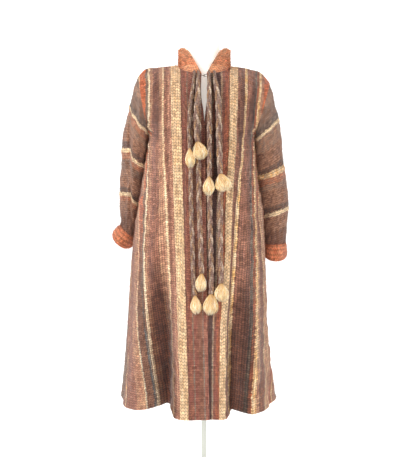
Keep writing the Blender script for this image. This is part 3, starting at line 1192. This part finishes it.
cuff_material = knit_material("cuff_mohair", CUFF_STRIPES, by_length=True, drift=0.02)
for side, name in ((-1, "right_cuff"), (1, "left_cuff")):
    end = refine(sleeve_net(side), *SLEEVE_GRID, wraps=True)[0]
    centre = end.mean(axis=0)
    up = unit(np.cross(end[SLEEVE_GRID[1] // 4] - centre, end[0] - centre))
    down = -up if up[2] > 0.0 else up
    out = end - centre
    out = unit(out - (out @ down)[:, None] * down)
    length = CUFF_LENGTH[side]
    middle = end + down * (SEAM_GAP + length / 2.0) - out * CLOTH / 2.0
    turns = np.linspace(0.0, 2.0 * math.pi, CUFF_STEPS, endpoint=False)[:, None, None]
    around = np.linspace(0.0, 2.0 * math.pi, len(end), endpoint=False)
    plump = 1.0 + 0.10 * np.sin(3.0 * around + 0.7) + 0.06 * np.sin(7.0 * around)
    bulge = np.sin(turns) * CUFF_THICKNESS / 2.0 * plump[:, None] + CUFF_FLARE * (1.0 + np.cos(turns)) / 2.0
    drop = np.sign(np.cos(turns)) * np.abs(np.cos(turns)) ** 0.8 * length / 2.0
    drop = drop + CUFF_SAG * (1.0 + np.cos(turns)) / 2.0 * np.clip(-out[:, 1:2], 0.0, 1.0)
    points = middle + drop * down + bulge * out
    count = len(end)
    row, place = np.meshgrid(np.arange(CUFF_STEPS), np.arange(count), indexing="ij")
    below, beside = (row + 1) % CUFF_STEPS, (place + 1) % count
    corners = [row * count + place, row * count + beside, below * count + beside, below * count + place]
    quads = np.stack(corners if side > 0 else corners[::-1], axis=-1).reshape(-1, 4)
    u = np.broadcast_to(np.arange(count) * SLEEVE_ROUND / count, points.shape[:2]).reshape(-1)
    over = np.minimum(turns, 2.0 * math.pi - turns) / math.pi * (length + CUFF_THICKNESS)
    v = np.broadcast_to(over[..., 0], points.shape[:2]).reshape(-1)
    turn_share = np.broadcast_to(np.arange(count) / count, points.shape[:2]).reshape(-1)
    mesh = make_mesh(name + "_roll", points.reshape(-1, 3), [quads], u, v, SLEEVE_ROUND, turn_share)
    add_piece(name + "_roll", mesh, cuff_material, "rust_mohair", name)
    mohair(name + "_fuzz", points, unit(points - middle), u.reshape(points.shape[:2]),
           v.reshape(points.shape[:2]), cuff_material, "rust_mohair", 7000 + side, 0.0075)


# The ties: plaits of three strands of flecked wool, drawn tight where they are sewn in at the neck seam.
# Four short ones hang over four long ones, and each ends in the knot of its tassel.
FRONT_FACE = np.array((
    # height, how far in front of the middle the fronts' outer face lies
    (0.620, 0.1780), (0.700, 0.1700), (0.750, 0.1658), (0.800, 0.1618), (0.850, 0.1579),
    (0.900, 0.1537), (0.950, 0.1500), (1.000, 0.1467), (1.060, 0.1431), (1.100, 0.1405),
    (1.150, 0.1366), (1.200, 0.1322), (1.250, 0.1255), (1.300, 0.1140), (1.340, 0.1006),
    (1.370, 0.0895), (1.385, 0.0852), (1.400, 0.0868),
))
TIES = (
    # radius, then a row for each point of the route: x, height, what lies between the tie and the cloth
    (0.0050, ((-0.031, 1.396, -0.0068), (-0.031, 1.384, 0.0074), (-0.036, 1.340, 0.0130),
              (-0.042, 1.300, 0.0160), (-0.047, 1.240, 0.0155), (-0.048, 1.190, 0.0165),
              (-0.0455, 1.153, 0.0235))),
    (0.0080, ((-0.0185, 1.396, -0.0022), (-0.0185, 1.384, 0.0106), (-0.019, 1.340, 0.0170),
              (-0.022, 1.300, 0.0190), (-0.025, 1.240, 0.0185), (-0.0235, 1.200, 0.0195),
              (-0.0215, 1.174, 0.0230))),
    (0.0070, ((0.0155, 1.396, -0.0010), (0.0155, 1.384, 0.0118), (0.0155, 1.340, 0.0174),
              (0.0150, 1.280, 0.0190), (0.0160, 1.200, 0.0182), (0.0160, 1.120, 0.0182),
              (0.0156, 1.066, 0.0232))),
    (0.0080, ((0.0325, 1.396, -0.0062), (0.0325, 1.384, 0.0094), (0.0385, 1.340, 0.0150),
              (0.0430, 1.290, 0.0190), (0.0440, 1.200, 0.0182), (0.0460, 1.130, 0.0182),
              (0.0500, 1.075, 0.0225))),
    (0.0065, ((-0.031, 1.384, -0.0042), (-0.034, 1.350, -0.0026), (-0.0395, 1.300, 0.0008),
              (-0.042, 1.200, 0.0012), (-0.0415, 1.060, 0.0006), (-0.040, 0.960, 0.0006),
              (-0.0355, 0.840, 0.0006), (-0.0330, 0.750, 0.0012), (-0.0285, 0.698, 0.0075))),
    (0.0080, ((-0.0185, 1.384, -0.0014), (-0.0182, 1.350, -0.0006), (-0.0175, 1.300, 0.0014),
              (-0.0170, 1.200, 0.0012), (-0.0165, 1.060, 0.0006), (-0.0150, 0.960, 0.0006),
              (-0.0110, 0.850, 0.0006), (-0.0080, 0.766, 0.0060))),
    (0.0080, ((0.0155, 1.384, -0.0004), (0.0160, 1.350, -0.0004), (0.0170, 1.300, 0.0010),
              (0.0175, 1.200, 0.0010), (0.0165, 1.060, 0.0006), (0.0175, 0.960, 0.0006),
              (0.0205, 0.840, 0.0006), (0.0225, 0.760, 0.0010), (0.0215, 0.703, 0.0070))),
    (0.0080, ((0.0325, 1.384, -0.0044), (0.0380, 1.350, -0.0032), (0.0450, 1.300, 0.0008),
              (0.0480, 1.200, 0.0010), (0.0500, 1.060, 0.0006), (0.0505, 0.960, 0.0006),
              (0.0505, 0.840, 0.0006), (0.0525, 0.736, 0.0070))),
)
TIE_TOP_RADIUS = 0.004
TIE_SWELL = 0.070
TIE_POINT_SPACING = 2.0
STRAND_SIDES = 8
STRAND_RADIUS = 0.50         # of the plait's radius, as are the next three
STRAND_SWING = 0.58
STRAND_CROSSING = 0.34
PLAIT_PITCH = 11.0
STRAND_MAP = 0.040           # width of a strand's place in the map
RINGS_A_PITCH = 20
BRAID_YARNS = (
    # start in the map, yarn, the shade it drifts to
    (0.000, (176, 142, 128), (128, 92, 80)), (0.040, (150, 116, 104), (238, 214, 190)),
    (0.080, (150, 116, 102), (196, 150, 100)), (0.120, GREY, GREY),
)


def tie_route(number):
    """Centreline of a tie from the neck seam to its tassel."""
    radius, rows = TIES[number]
    rows = np.array(rows)
    here = np.clip((rows[0, 1] - rows[:, 1]) / TIE_SWELL, 0.0, 1.0)
    here = TIE_TOP_RADIUS + (radius - TIE_TOP_RADIUS) * soft_step(here)
    depth = through(FRONT_FACE[:, 0], FRONT_FACE[:, 1], rows[:, 1])
    points = np.stack((rows[:, 0], -(depth + rows[:, 2] + here), rows[:, 1]), axis=-1)
    passed = np.concatenate(((0.0,), np.cumsum(np.linalg.norm(np.diff(points, axis=0), axis=1))))
    along = np.linspace(0.0, passed[-1], ANGLE_STEPS)
    radii = TIE_TOP_RADIUS + (radius - TIE_TOP_RADIUS) * soft_step(along / TIE_SWELL)
    spaces = np.cumsum(np.gradient(along) / (2.0 * radii * TIE_POINT_SPACING))
    wanted = np.linspace(spaces[0], spaces[-1], int(spaces[-1]) + 2)
    return through(passed, points, np.interp(wanted, spaces, along))


def plait_mesh(name, route, radius):
    """Three strands that pass over each other along a route."""
    passed = np.concatenate(((0.0,), np.cumsum(np.linalg.norm(np.diff(route, axis=0), axis=1))))
    count = int(passed[-1] / (PLAIT_PITCH * radius) * RINGS_A_PITCH)
    along = np.linspace(0.0, passed[-1], count)
    line = through(passed, route, along)
    forward = unit(np.gradient(line, axis=0))
    sideways = unit(np.cross(forward, np.array((0.0, -1.0, 0.0))))
    front = np.cross(sideways, forward)
    local = TIE_TOP_RADIUS + (radius - TIE_TOP_RADIUS) * soft_step(along / TIE_SWELL)
    local = local[:, None]
    turns = np.cumsum(np.gradient(along)[:, None] / (PLAIT_PITCH * local), axis=0)
    points, quads, caps, u, v = [], [], [], [], []
    size = count * STRAND_SIDES
    ring = np.linspace(0.0, 2.0 * math.pi, STRAND_SIDES, endpoint=False)
    for strand in range(3):
        phase = 2.0 * math.pi * (turns + strand / 3.0)
        middle = line + sideways * local * STRAND_SWING * np.sin(phase)
        middle = middle + front * local * STRAND_CROSSING * np.sin(2.0 * phase)
        ahead = unit(np.gradient(middle, axis=0))
        right = unit(np.cross(ahead, front))
        high = np.cross(right, ahead)
        thick = (local * STRAND_RADIUS)[:, :, None] * (1.0 + 0.08 * np.sin(9.0 * phase + strand))[:, :, None]
        spoke = np.cos(ring)[:, None] * right[:, None] + np.sin(ring)[:, None] * high[:, None]
        tube = middle[:, None] + thick * spoke
        first = strand * size
        quads.append(first + ring_faces(count, STRAND_SIDES, turned_over=True))
        caps.append(first + np.arange(STRAND_SIDES))
        caps.append(first + size - STRAND_SIDES + np.arange(STRAND_SIDES)[::-1])
        points.append(tube.reshape(-1, 3))
        over = STRAND_MAP * (strand + 0.15 + 0.7 * np.abs(ring / math.pi - 1.0))
        u.append(np.broadcast_to(over, tube.shape[:2]))
        v.append(np.broadcast_to(along[:, None], tube.shape[:2]))
    u = np.concatenate([part.reshape(-1) for part in u])
    v = np.concatenate([part.reshape(-1) for part in v])
    return make_mesh(name, np.concatenate(points), [np.concatenate(quads), np.array(caps)], u, v)


# Fur tassels, one for each tie: a round head with long fine fur that hangs in a full drop.
TASSELS = (
    # lean sideways and forwards, length, half width, half depth
    (0.060, 0.00, 0.064, 0.0112, 0.0100),
    (0.240, 0.00, 0.062, 0.0170, 0.0120),
    (-0.050, 0.00, 0.063, 0.0135, 0.0115),
    (0.260, 0.00, 0.063, 0.0190, 0.0120),
    (0.090, 0.00, 0.063, 0.0130, 0.0115),
    (-0.070, 0.00, 0.062, 0.0132, 0.0115),
    (-0.040, 0.00, 0.072, 0.0180, 0.0125),
    (0.040, 0.00, 0.062, 0.0175, 0.0125),
)
HAIRS = 1000
HAIR_RADIUS = 0.0009
HAIR_STEPS = (
    # share of the drop's girth and of the hair's radius, at four places from root to tip
    (0.74, 1.0), (1.02, 1.1), (1.08, 0.9), (0.98, 0.0),
)
STRAY_EVERY = 14             # one hair in this many stands out of the drop
STRAY_FULLNESS = 1.25
FIRST_SEED = 40
BODY_TURNS = 16
BODY_RINGS = 12
BODY_GIRTH = 0.42            # of the drop's girth, and the next two of its length
BODY_TOP, BODY_FOOT = 0.01, 0.78

fur_material, tree, shader = new_material("cream_fur", {
    "Emission Strength": 0.16, "Roughness": 0.6, "Specular IOR Level": 0.3, "Sheen Weight": 0.3})
cloth_map = put(tree, "ShaderNodeUVMap", uv_map="cloth")
place = put(tree, "ShaderNodeSeparateXYZ", {0: cloth_map.outputs[0]})
tints = put(tree, "ShaderNodeTexWhiteNoise", {"W": place.outputs[0]}, noise_dimensions="1D")
tint = put(tree, "ShaderNodeValToRGB", {0: tints.outputs[0]})
tint.color_ramp.elements[0].color = linear(190, 138, 76)
tint.color_ramp.elements[1].color = linear(255, 248, 230)
tint.color_ramp.elements.new(0.25).color = linear(232, 192, 122)
tint.color_ramp.elements.new(0.60).color = linear(250, 228, 178)
root = put(tree, "ShaderNodeMapRange", {0: place.outputs[1], 1: 0.0, 2: 0.50, 3: 0.9, 4: 0.0})
shaded = blend_colours(tree, "MIX", root.outputs[0], tint.outputs[0], linear(206, 156, 92))
tree.links.new(shaded, shader.inputs["Base Color"])
tree.links.new(shaded, shader.inputs["Emission Color"])


def fur_mesh(name, number, top):
    """A full drop of fur below a point: a closed body and tapered hairs that stand out of it."""
    lean_side, lean_front, length, half_width, half_depth = TASSELS[number]
    down = unit(np.array((lean_side, -lean_front, -1.0)))
    side = unit(np.cross(down, np.array((0.0, -1.0, 0.0))))
    front = np.cross(side, down)
    axes = np.stack((side, front, down))
    chance = np.random.default_rng(FIRST_SEED + number)

    def drop(share, turn, size):
        """A point of the drop, by its share of the length and its turn round it."""
        share = np.clip(share, 0.0, 1.0)
        full = size * (0.20 + 0.80 * np.sin(math.pi / 2.0 * np.clip(share / 0.60, 0.0, 1.0)))
        full = full * (1.0 - 0.55 * np.clip((share - 0.55) / 0.45, 0.0, 1.0) ** 2)
        local = np.stack((np.cos(turn) * full * half_width, np.sin(turn) * full * half_depth,
                          share * length), axis=-1)
        return top + local @ axes

    share, turn = np.meshgrid(np.linspace(BODY_TOP, BODY_FOOT, BODY_RINGS),
                              np.linspace(0.0, 2.0 * math.pi, BODY_TURNS, endpoint=False), indexing="ij")
    body = drop(share, turn, BODY_GIRTH).reshape(-1, 3)
    quads = ring_faces(BODY_RINGS, BODY_TURNS)
    caps = np.array((np.arange(BODY_TURNS)[::-1], np.arange(BODY_TURNS) + (BODY_RINGS - 1) * BODY_TURNS))
    start = chance.uniform(0.0, 0.40, HAIRS)
    angle = chance.uniform(0.0, 2.0 * math.pi, HAIRS)
    angle += 0.30 * np.sin(7.0 * angle + number)
    lowest = 0.84 + 0.12 * np.sin(5.0 * angle + number) + chance.uniform(-0.04, 0.04, HAIRS)
    end = np.minimum(start + chance.uniform(0.40, 0.80, HAIRS), lowest)
    twist = chance.normal(0.0, 0.45, HAIRS)
    fullness = chance.uniform(0.50, 1.08, HAIRS)
    fullness[::STRAY_EVERY] = STRAY_FULLNESS
    points = [body]
    rings = []
    for step, (size, thick) in enumerate(HAIR_STEPS):
        share = start + (end - start) * step / 3.0
        middle = drop(share, angle + twist * step / 3.0, size * fullness)
        if step == 3:
            points.append(middle)
            break
        for corner in range(3):
            turn = angle + 2.0 * math.pi * corner / 3.0
            offset = np.stack((np.cos(turn), np.sin(turn), 0.0 * turn), axis=-1) @ axes
            points.append(middle + offset * HAIR_RADIUS * thick)
    first = len(body)
    hair = np.arange(HAIRS)
    for step in range(2):
        for corner in range(3):
            a, b = step * 3 + corner, step * 3 + (corner + 1) % 3
            rings.append(first + np.stack((a * HAIRS + hair, b * HAIRS + hair, (b + 3) * HAIRS + hair,
                                           (a + 3) * HAIRS + hair), axis=-1))
    tips = []
    for corner in range(3):
        a, b = 6 + corner, 6 + (corner + 1) % 3
        tips.append(first + np.stack((a * HAIRS + hair, b * HAIRS + hair, 9 * HAIRS + hair), axis=-1))
    tips.append(first + np.stack((2 * HAIRS + hair, HAIRS + hair, hair), axis=-1))
    u = np.concatenate((np.full(first, 0.5), np.tile(hair + 1.0, 10)))
    ends = np.repeat((0.0, 0.33, 0.66, 1.0), (3 * HAIRS, 3 * HAIRS, 3 * HAIRS, HAIRS))
    v = np.concatenate((np.zeros(first), ends))
    faces = [np.concatenate([quads] + rings), caps, np.concatenate(tips)]
    return make_mesh(name, np.concatenate(points), faces, u, v)


braid_material = knit_material("braid_yarns", BRAID_YARNS, drift=0.045, wobble=0.0)
for number, (radius, _) in enumerate(TIES):
    route = tie_route(number)
    name = f"tie_{number + 1}"
    plait = add_piece(name + "_plait", plait_mesh(name + "_plait", route, radius), braid_material,
                      "braid_wool", name)
    tassel_name = f"tassel_{number + 1}"
    mesh = fur_mesh(tassel_name + "_fur", number, route[-1])
    tassel = add_piece(tassel_name + "_fur", mesh, fur_material, "cream_fur", tassel_name)
    length = float(np.linalg.norm(np.diff(route, axis=0), axis=1).sum())


# The neck hook and eye: bent blackened wire that joins the fronts just below the collar.
HOOK_ROUTE = (
    (-0.0073, -0.0838, 1.381), (-0.0050, -0.0852, 1.381), (-0.0015, -0.0866, 1.381),
    (0.0015, -0.0858, 1.381), (0.0026, -0.0838, 1.381), (0.0018, -0.0812, 1.381),
)
EYE_ROUTE = (
    (0.0073, -0.0838, 1.3842), (0.0040, -0.0838, 1.3844), (0.0005, -0.0838, 1.3838),
    (-0.0010, -0.0838, 1.3822), (-0.0010, -0.0838, 1.3798), (0.0005, -0.0838, 1.3782),
    (0.0040, -0.0838, 1.3776), (0.0073, -0.0838, 1.3778),
)
WIRE_RADIUS = 0.0009
WIRE_SIDES = 10

wire_material, tree, shader = new_material("hook_wire", {"Metallic": 0.8, "Roughness": 0.42})
wear = put(tree, "ShaderNodeTexNoise", {"Scale": 900.0, "Detail": 3.0})
worn = blend_colours(tree, "MIX", wear.outputs[0], linear(44, 40, 38), linear(92, 86, 80))
tree.links.new(worn, shader.inputs["Base Color"])
for name, route in (("neck_hook", HOOK_ROUTE), ("neck_eye", EYE_ROUTE)):
    route = np.array(route)
    line = through(np.arange(len(route)), route, np.linspace(0.0, len(route) - 1.0, 8 * len(route)))
    ahead = unit(np.gradient(line, axis=0))
    right = unit(np.cross(ahead, np.array((0.05, 0.1, 1.0))))
    high = np.cross(right, ahead)
    ring = np.linspace(0.0, 2.0 * math.pi, WIRE_SIDES, endpoint=False)[:, None]
    tube = line[:, None] + WIRE_RADIUS * (np.cos(ring) * right[:, None] + np.sin(ring) * high[:, None])
    quads = ring_faces(len(line), WIRE_SIDES, turned_over=True)
    last = (len(line) - 1) * WIRE_SIDES
    caps = np.array((np.arange(WIRE_SIDES), last + np.arange(WIRE_SIDES)[::-1]))
    zeros = np.zeros(len(line) * WIRE_SIDES)
    mesh = make_mesh(name + "_wire", tube.reshape(-1, 3), [quads, caps], zeros, zeros)
    add_piece(name + "_wire", mesh, wire_material, "hook_wire", name)


# The dress form: a limbless padded torso under smooth white cotton, with a seam down each side, in front
# and behind. It ends in a flat neck.
FORM_LEVELS = np.array((
    # height, half width, front depth, back depth, pinch of the shoulders in front and behind
    (0.800, 0.158, 0.110, 0.118, 1.0),
    (0.860, 0.164, 0.112, 0.124, 1.0),
    (0.930, 0.152, 0.106, 0.112, 1.0),
    (1.050, 0.118, 0.092, 0.086, 1.0),
    (1.120, 0.126, 0.102, 0.088, 1.0),
    (1.195, 0.142, 0.112, 0.090, 1.0),
    (1.260, 0.158, 0.102, 0.092, 1.1),
    (1.320, 0.172, 0.082, 0.084, 1.3),
    (1.355, 0.179, 0.066, 0.070, 1.6),
    (1.375, 0.180, 0.056, 0.060, 2.0),
    (1.3885, 0.176, 0.050, 0.052, 2.8),
    (1.3975, 0.164, 0.048, 0.050, 4.0),
    (1.4040, 0.142, 0.047, 0.049, 4.6),
    (1.4090, 0.114, 0.047, 0.044, 5.2),
    (1.4132, 0.083, 0.047, 0.044, 3.8),
    (1.420, 0.062, 0.047, 0.049, 1.2),
    (1.440, 0.054, 0.046, 0.048, 1.0),
    (1.495, 0.051, 0.044, 0.046, 1.0),
))
FORM_SIDES = 96
FORM_EDGE = 0.006

form_material, tree, shader = new_material("form_cover", {
    "Roughness": 0.85, "Sheen Weight": 0.1, "Emission Color": linear(255, 250, 240),
    "Emission Strength": 0.40})
cloth_map = put(tree, "ShaderNodeUVMap", uv_map="cloth")
weave = put(tree, "ShaderNodeTexNoise", {"Vector": cloth_map.outputs[0], "Scale": 900.0, "Detail": 2.0})
patches = put(tree, "ShaderNodeTexNoise", {"Vector": cloth_map.outputs[0], "Scale": 14.0, "Detail": 2.0})
white = blend_colours(tree, "MIX", patches.outputs[0], linear(236, 236, 230), linear(248, 248, 244))
place = put(tree, "ShaderNodeSeparateXYZ", {0: cloth_map.outputs[0]})
seam = sum_up(tree, "PINGPONG", place.outputs[0], 0.125)
seam = put(tree, "ShaderNodeMapRange", {0: seam, 1: 0.0, 2: 0.004, 3: -1.0, 4: 0.0})
height = sum_up(tree, "ADD", seam.outputs[0], sum_up(tree, "MULTIPLY", weave.outputs[0], 0.35))
bump = put(tree, "ShaderNodeBump", {"Height": height, "Strength": 0.5, "Distance": 0.0008})
tree.links.new(white, shader.inputs["Base Color"])
tree.links.new(bump.outputs[0], shader.inputs["Normal"])
lowest = FORM_LEVELS[0] - FORM_EDGE * np.array((1.0, 1.0, 1.0, 1.0, 0.0))
highest = FORM_LEVELS[-1] - FORM_EDGE * np.array((-1.0, 1.0, 1.0, 1.0, 0.0))
knots = FORM_LEVELS[:, 0]
heights = np.unique(np.concatenate((knots, np.linspace(knots[0], knots[-1], 60))))
sections = np.column_stack((heights, through(knots, FORM_LEVELS[:, 1:], heights)))
levels = np.concatenate((lowest[None], sections, highest[None]))
turn_share = np.arange(FORM_SIDES) / FORM_SIDES
cosine = np.cos(2.0 * math.pi * turn_share)
x = levels[:, 1:2] * np.sin(2.0 * math.pi * turn_share)
depth = np.where(cosine > 0.0, levels[:, 2:3], levels[:, 3:4])
y = -depth * np.sign(cosine) * np.abs(cosine) ** levels[:, 4:5]
points = np.stack((x, y, np.broadcast_to(levels[:, :1], x.shape)), axis=-1)
quads = ring_faces(len(levels), FORM_SIDES)
last = (len(levels) - 1) * FORM_SIDES
caps = np.array((np.arange(FORM_SIDES)[::-1], last + np.arange(FORM_SIDES)))
u = np.broadcast_to(turn_share, x.shape).reshape(-1)
v = np.broadcast_to(levels[:, :1], x.shape).reshape(-1)
mesh = make_mesh("form_cover", points.reshape(-1, 3), [quads, caps], u, v, 1.0, u)
add_piece("form_torso", mesh, form_material, "form_cover", "dress_form")


# The stand: a steel pole in a turned hub on a round foot, in satin pale grey enamel.
POLE_RADIUS = 0.008
BASE_RADIUS = 0.190
BASE_HEIGHT = 0.014
HUB_RADIUS = 0.022
HUB_TOP = 0.050
STAND_GAP = 0.0003
POLE_TOP = FORM_LEVELS[0][0] - FORM_EDGE - STAND_GAP

stand_material, tree, shader = new_material("stand_metal", {"Roughness": 0.36, "Metallic": 0.3})
place = put(tree, "ShaderNodeTexCoord")
dust = put(tree, "ShaderNodeTexNoise", {"Vector": place.outputs["Object"], "Scale": 6.0, "Detail": 5.0})
enamel = blend_colours(tree, "MIX", dust.outputs[0], linear(206, 209, 200), linear(222, 224, 216))
peel = put(tree, "ShaderNodeTexNoise", {"Vector": place.outputs["Object"], "Scale": 420.0, "Detail": 1.0})
bump = put(tree, "ShaderNodeBump", {"Height": peel.outputs[0], "Strength": 0.25, "Distance": 0.0003})
tree.links.new(enamel, shader.inputs["Base Color"])
tree.links.new(bump.outputs[0], shader.inputs["Normal"])


def turned(name, profile, sides, edge, node):
    """A turned piece from (radius, height) rows that start and end on the axis, with rounded edges."""
    shape = bmesh.new()
    spots = [shape.verts.new((radius, 0.0, height)) for radius, height in profile]
    lines = [shape.edges.new(pair) for pair in zip(spots, spots[1:])]
    bmesh.ops.spin(shape, geom=spots + lines, cent=(0, 0, 0), axis=(0, 0, 1), angle=2.0 * math.pi,
                   steps=sides)
    bmesh.ops.remove_doubles(shape, verts=shape.verts, dist=1e-6)
    bmesh.ops.recalc_face_normals(shape, faces=shape.faces)
    mesh = bpy.data.meshes.new(name)
    shape.to_mesh(mesh)
    shape.free()
    mesh.shade_smooth()
    piece = add_piece(name, mesh, stand_material, "stand_metal", node)
    bevel = piece.modifiers.new("edges", "BEVEL")
    bevel.width = edge
    bevel.segments = 3
    bevel.angle_limit = math.radians(40.0)
    bpy.ops.object.select_all(action="DESELECT")
    bpy.context.view_layer.objects.active = piece
    piece.select_set(True)
    bpy.ops.object.modifier_apply(modifier=bevel.name)


foot = HUB_TOP + STAND_GAP
turned("pole_tube", ((0.0, foot), (POLE_RADIUS, foot), (POLE_RADIUS, POLE_TOP), (0.0, POLE_TOP)), 48, 0.0008,
       "stand_pole")
turned("foot_plate", (
    (0.0, 0.0), (BASE_RADIUS - 0.002, 0.0), (BASE_RADIUS, 0.002), (BASE_RADIUS, BASE_HEIGHT - 0.004),
    (BASE_RADIUS - 0.004, BASE_HEIGHT), (HUB_RADIUS + 0.006, BASE_HEIGHT + 0.002),
    (HUB_RADIUS, BASE_HEIGHT + 0.008), (HUB_RADIUS - 0.004, HUB_TOP - 0.003),
    (HUB_RADIUS - 0.007, HUB_TOP), (0.0, HUB_TOP)), 128, 0.0015, "stand_base")


# A white floor that rises into a backdrop, and soft light from all round with a large lamp at each side.
FLOOR_HALF = 6.0
FLOOR_BACK = 3.0
BACKDROP_BEND = 1.5
BACKDROP_TOP = 6.0
BEND_STEPS = 24

bend = np.linspace(0.0, math.pi / 2.0, BEND_STEPS)
profile = [(-FLOOR_HALF, 0.0)]
for turn in bend:
    profile.append((FLOOR_BACK + BACKDROP_BEND * math.sin(turn), BACKDROP_BEND * (1.0 - math.cos(turn))))
profile.append((FLOOR_BACK + BACKDROP_BEND, BACKDROP_TOP))
sweep = np.array([(x, y, z) for y, z in profile for x in (-FLOOR_HALF, FLOOR_HALF)])
row = np.arange(len(profile) - 1) * 2
quads = np.stack((row, row + 1, row + 3, row + 2), axis=-1)
mesh = make_mesh("backdrop", sweep, [quads], sweep[:, 0].copy(), sweep[:, 1].copy())
paper, _, _ = new_material("white_paper", {
    "Base Color": linear(250, 250, 248), "Roughness": 0.9, "Emission Color": (1.0, 1.0, 1.0, 1.0),
    "Emission Strength": 0.50})
mesh.materials.append(paper)
backdrop = bpy.data.objects.new("backdrop", mesh)
scene.collection.objects.link(backdrop)

LAMPS = (
    # name, place, size, power, what it aims at
    ("key_lamp", (-2.2, -2.3, 3.3), 1.5, 92.0, (0.0, 0.0, 1.10)),
    ("fill_lamp", (2.2, -2.8, 2.4), 2.2, 34.0, (0.0, 0.0, 1.05)),
)
for name, place, size, power, target in LAMPS:
    lamp = bpy.data.lights.new(name, "AREA")
    lamp.shape = "DISK"
    lamp.size = size
    lamp.energy = power
    thing = bpy.data.objects.new(name, lamp)
    scene.collection.objects.link(thing)
    thing.location = place
    aim = np.array(target) - np.array(place)
    thing.rotation_euler = (math.atan2(math.hypot(aim[0], aim[1]), -aim[2]), 0.0,
                            math.atan2(aim[1], aim[0]) - math.pi / 2.0)

world = bpy.data.worlds.new("studio")
world.use_nodes = True
world.node_tree.nodes["Background"].inputs["Color"].default_value = (1.0, 1.0, 1.0, 1.0)
world.node_tree.nodes["Background"].inputs["Strength"].default_value = 0.62
scene.world = world
scene.view_settings.view_transform = "Standard"
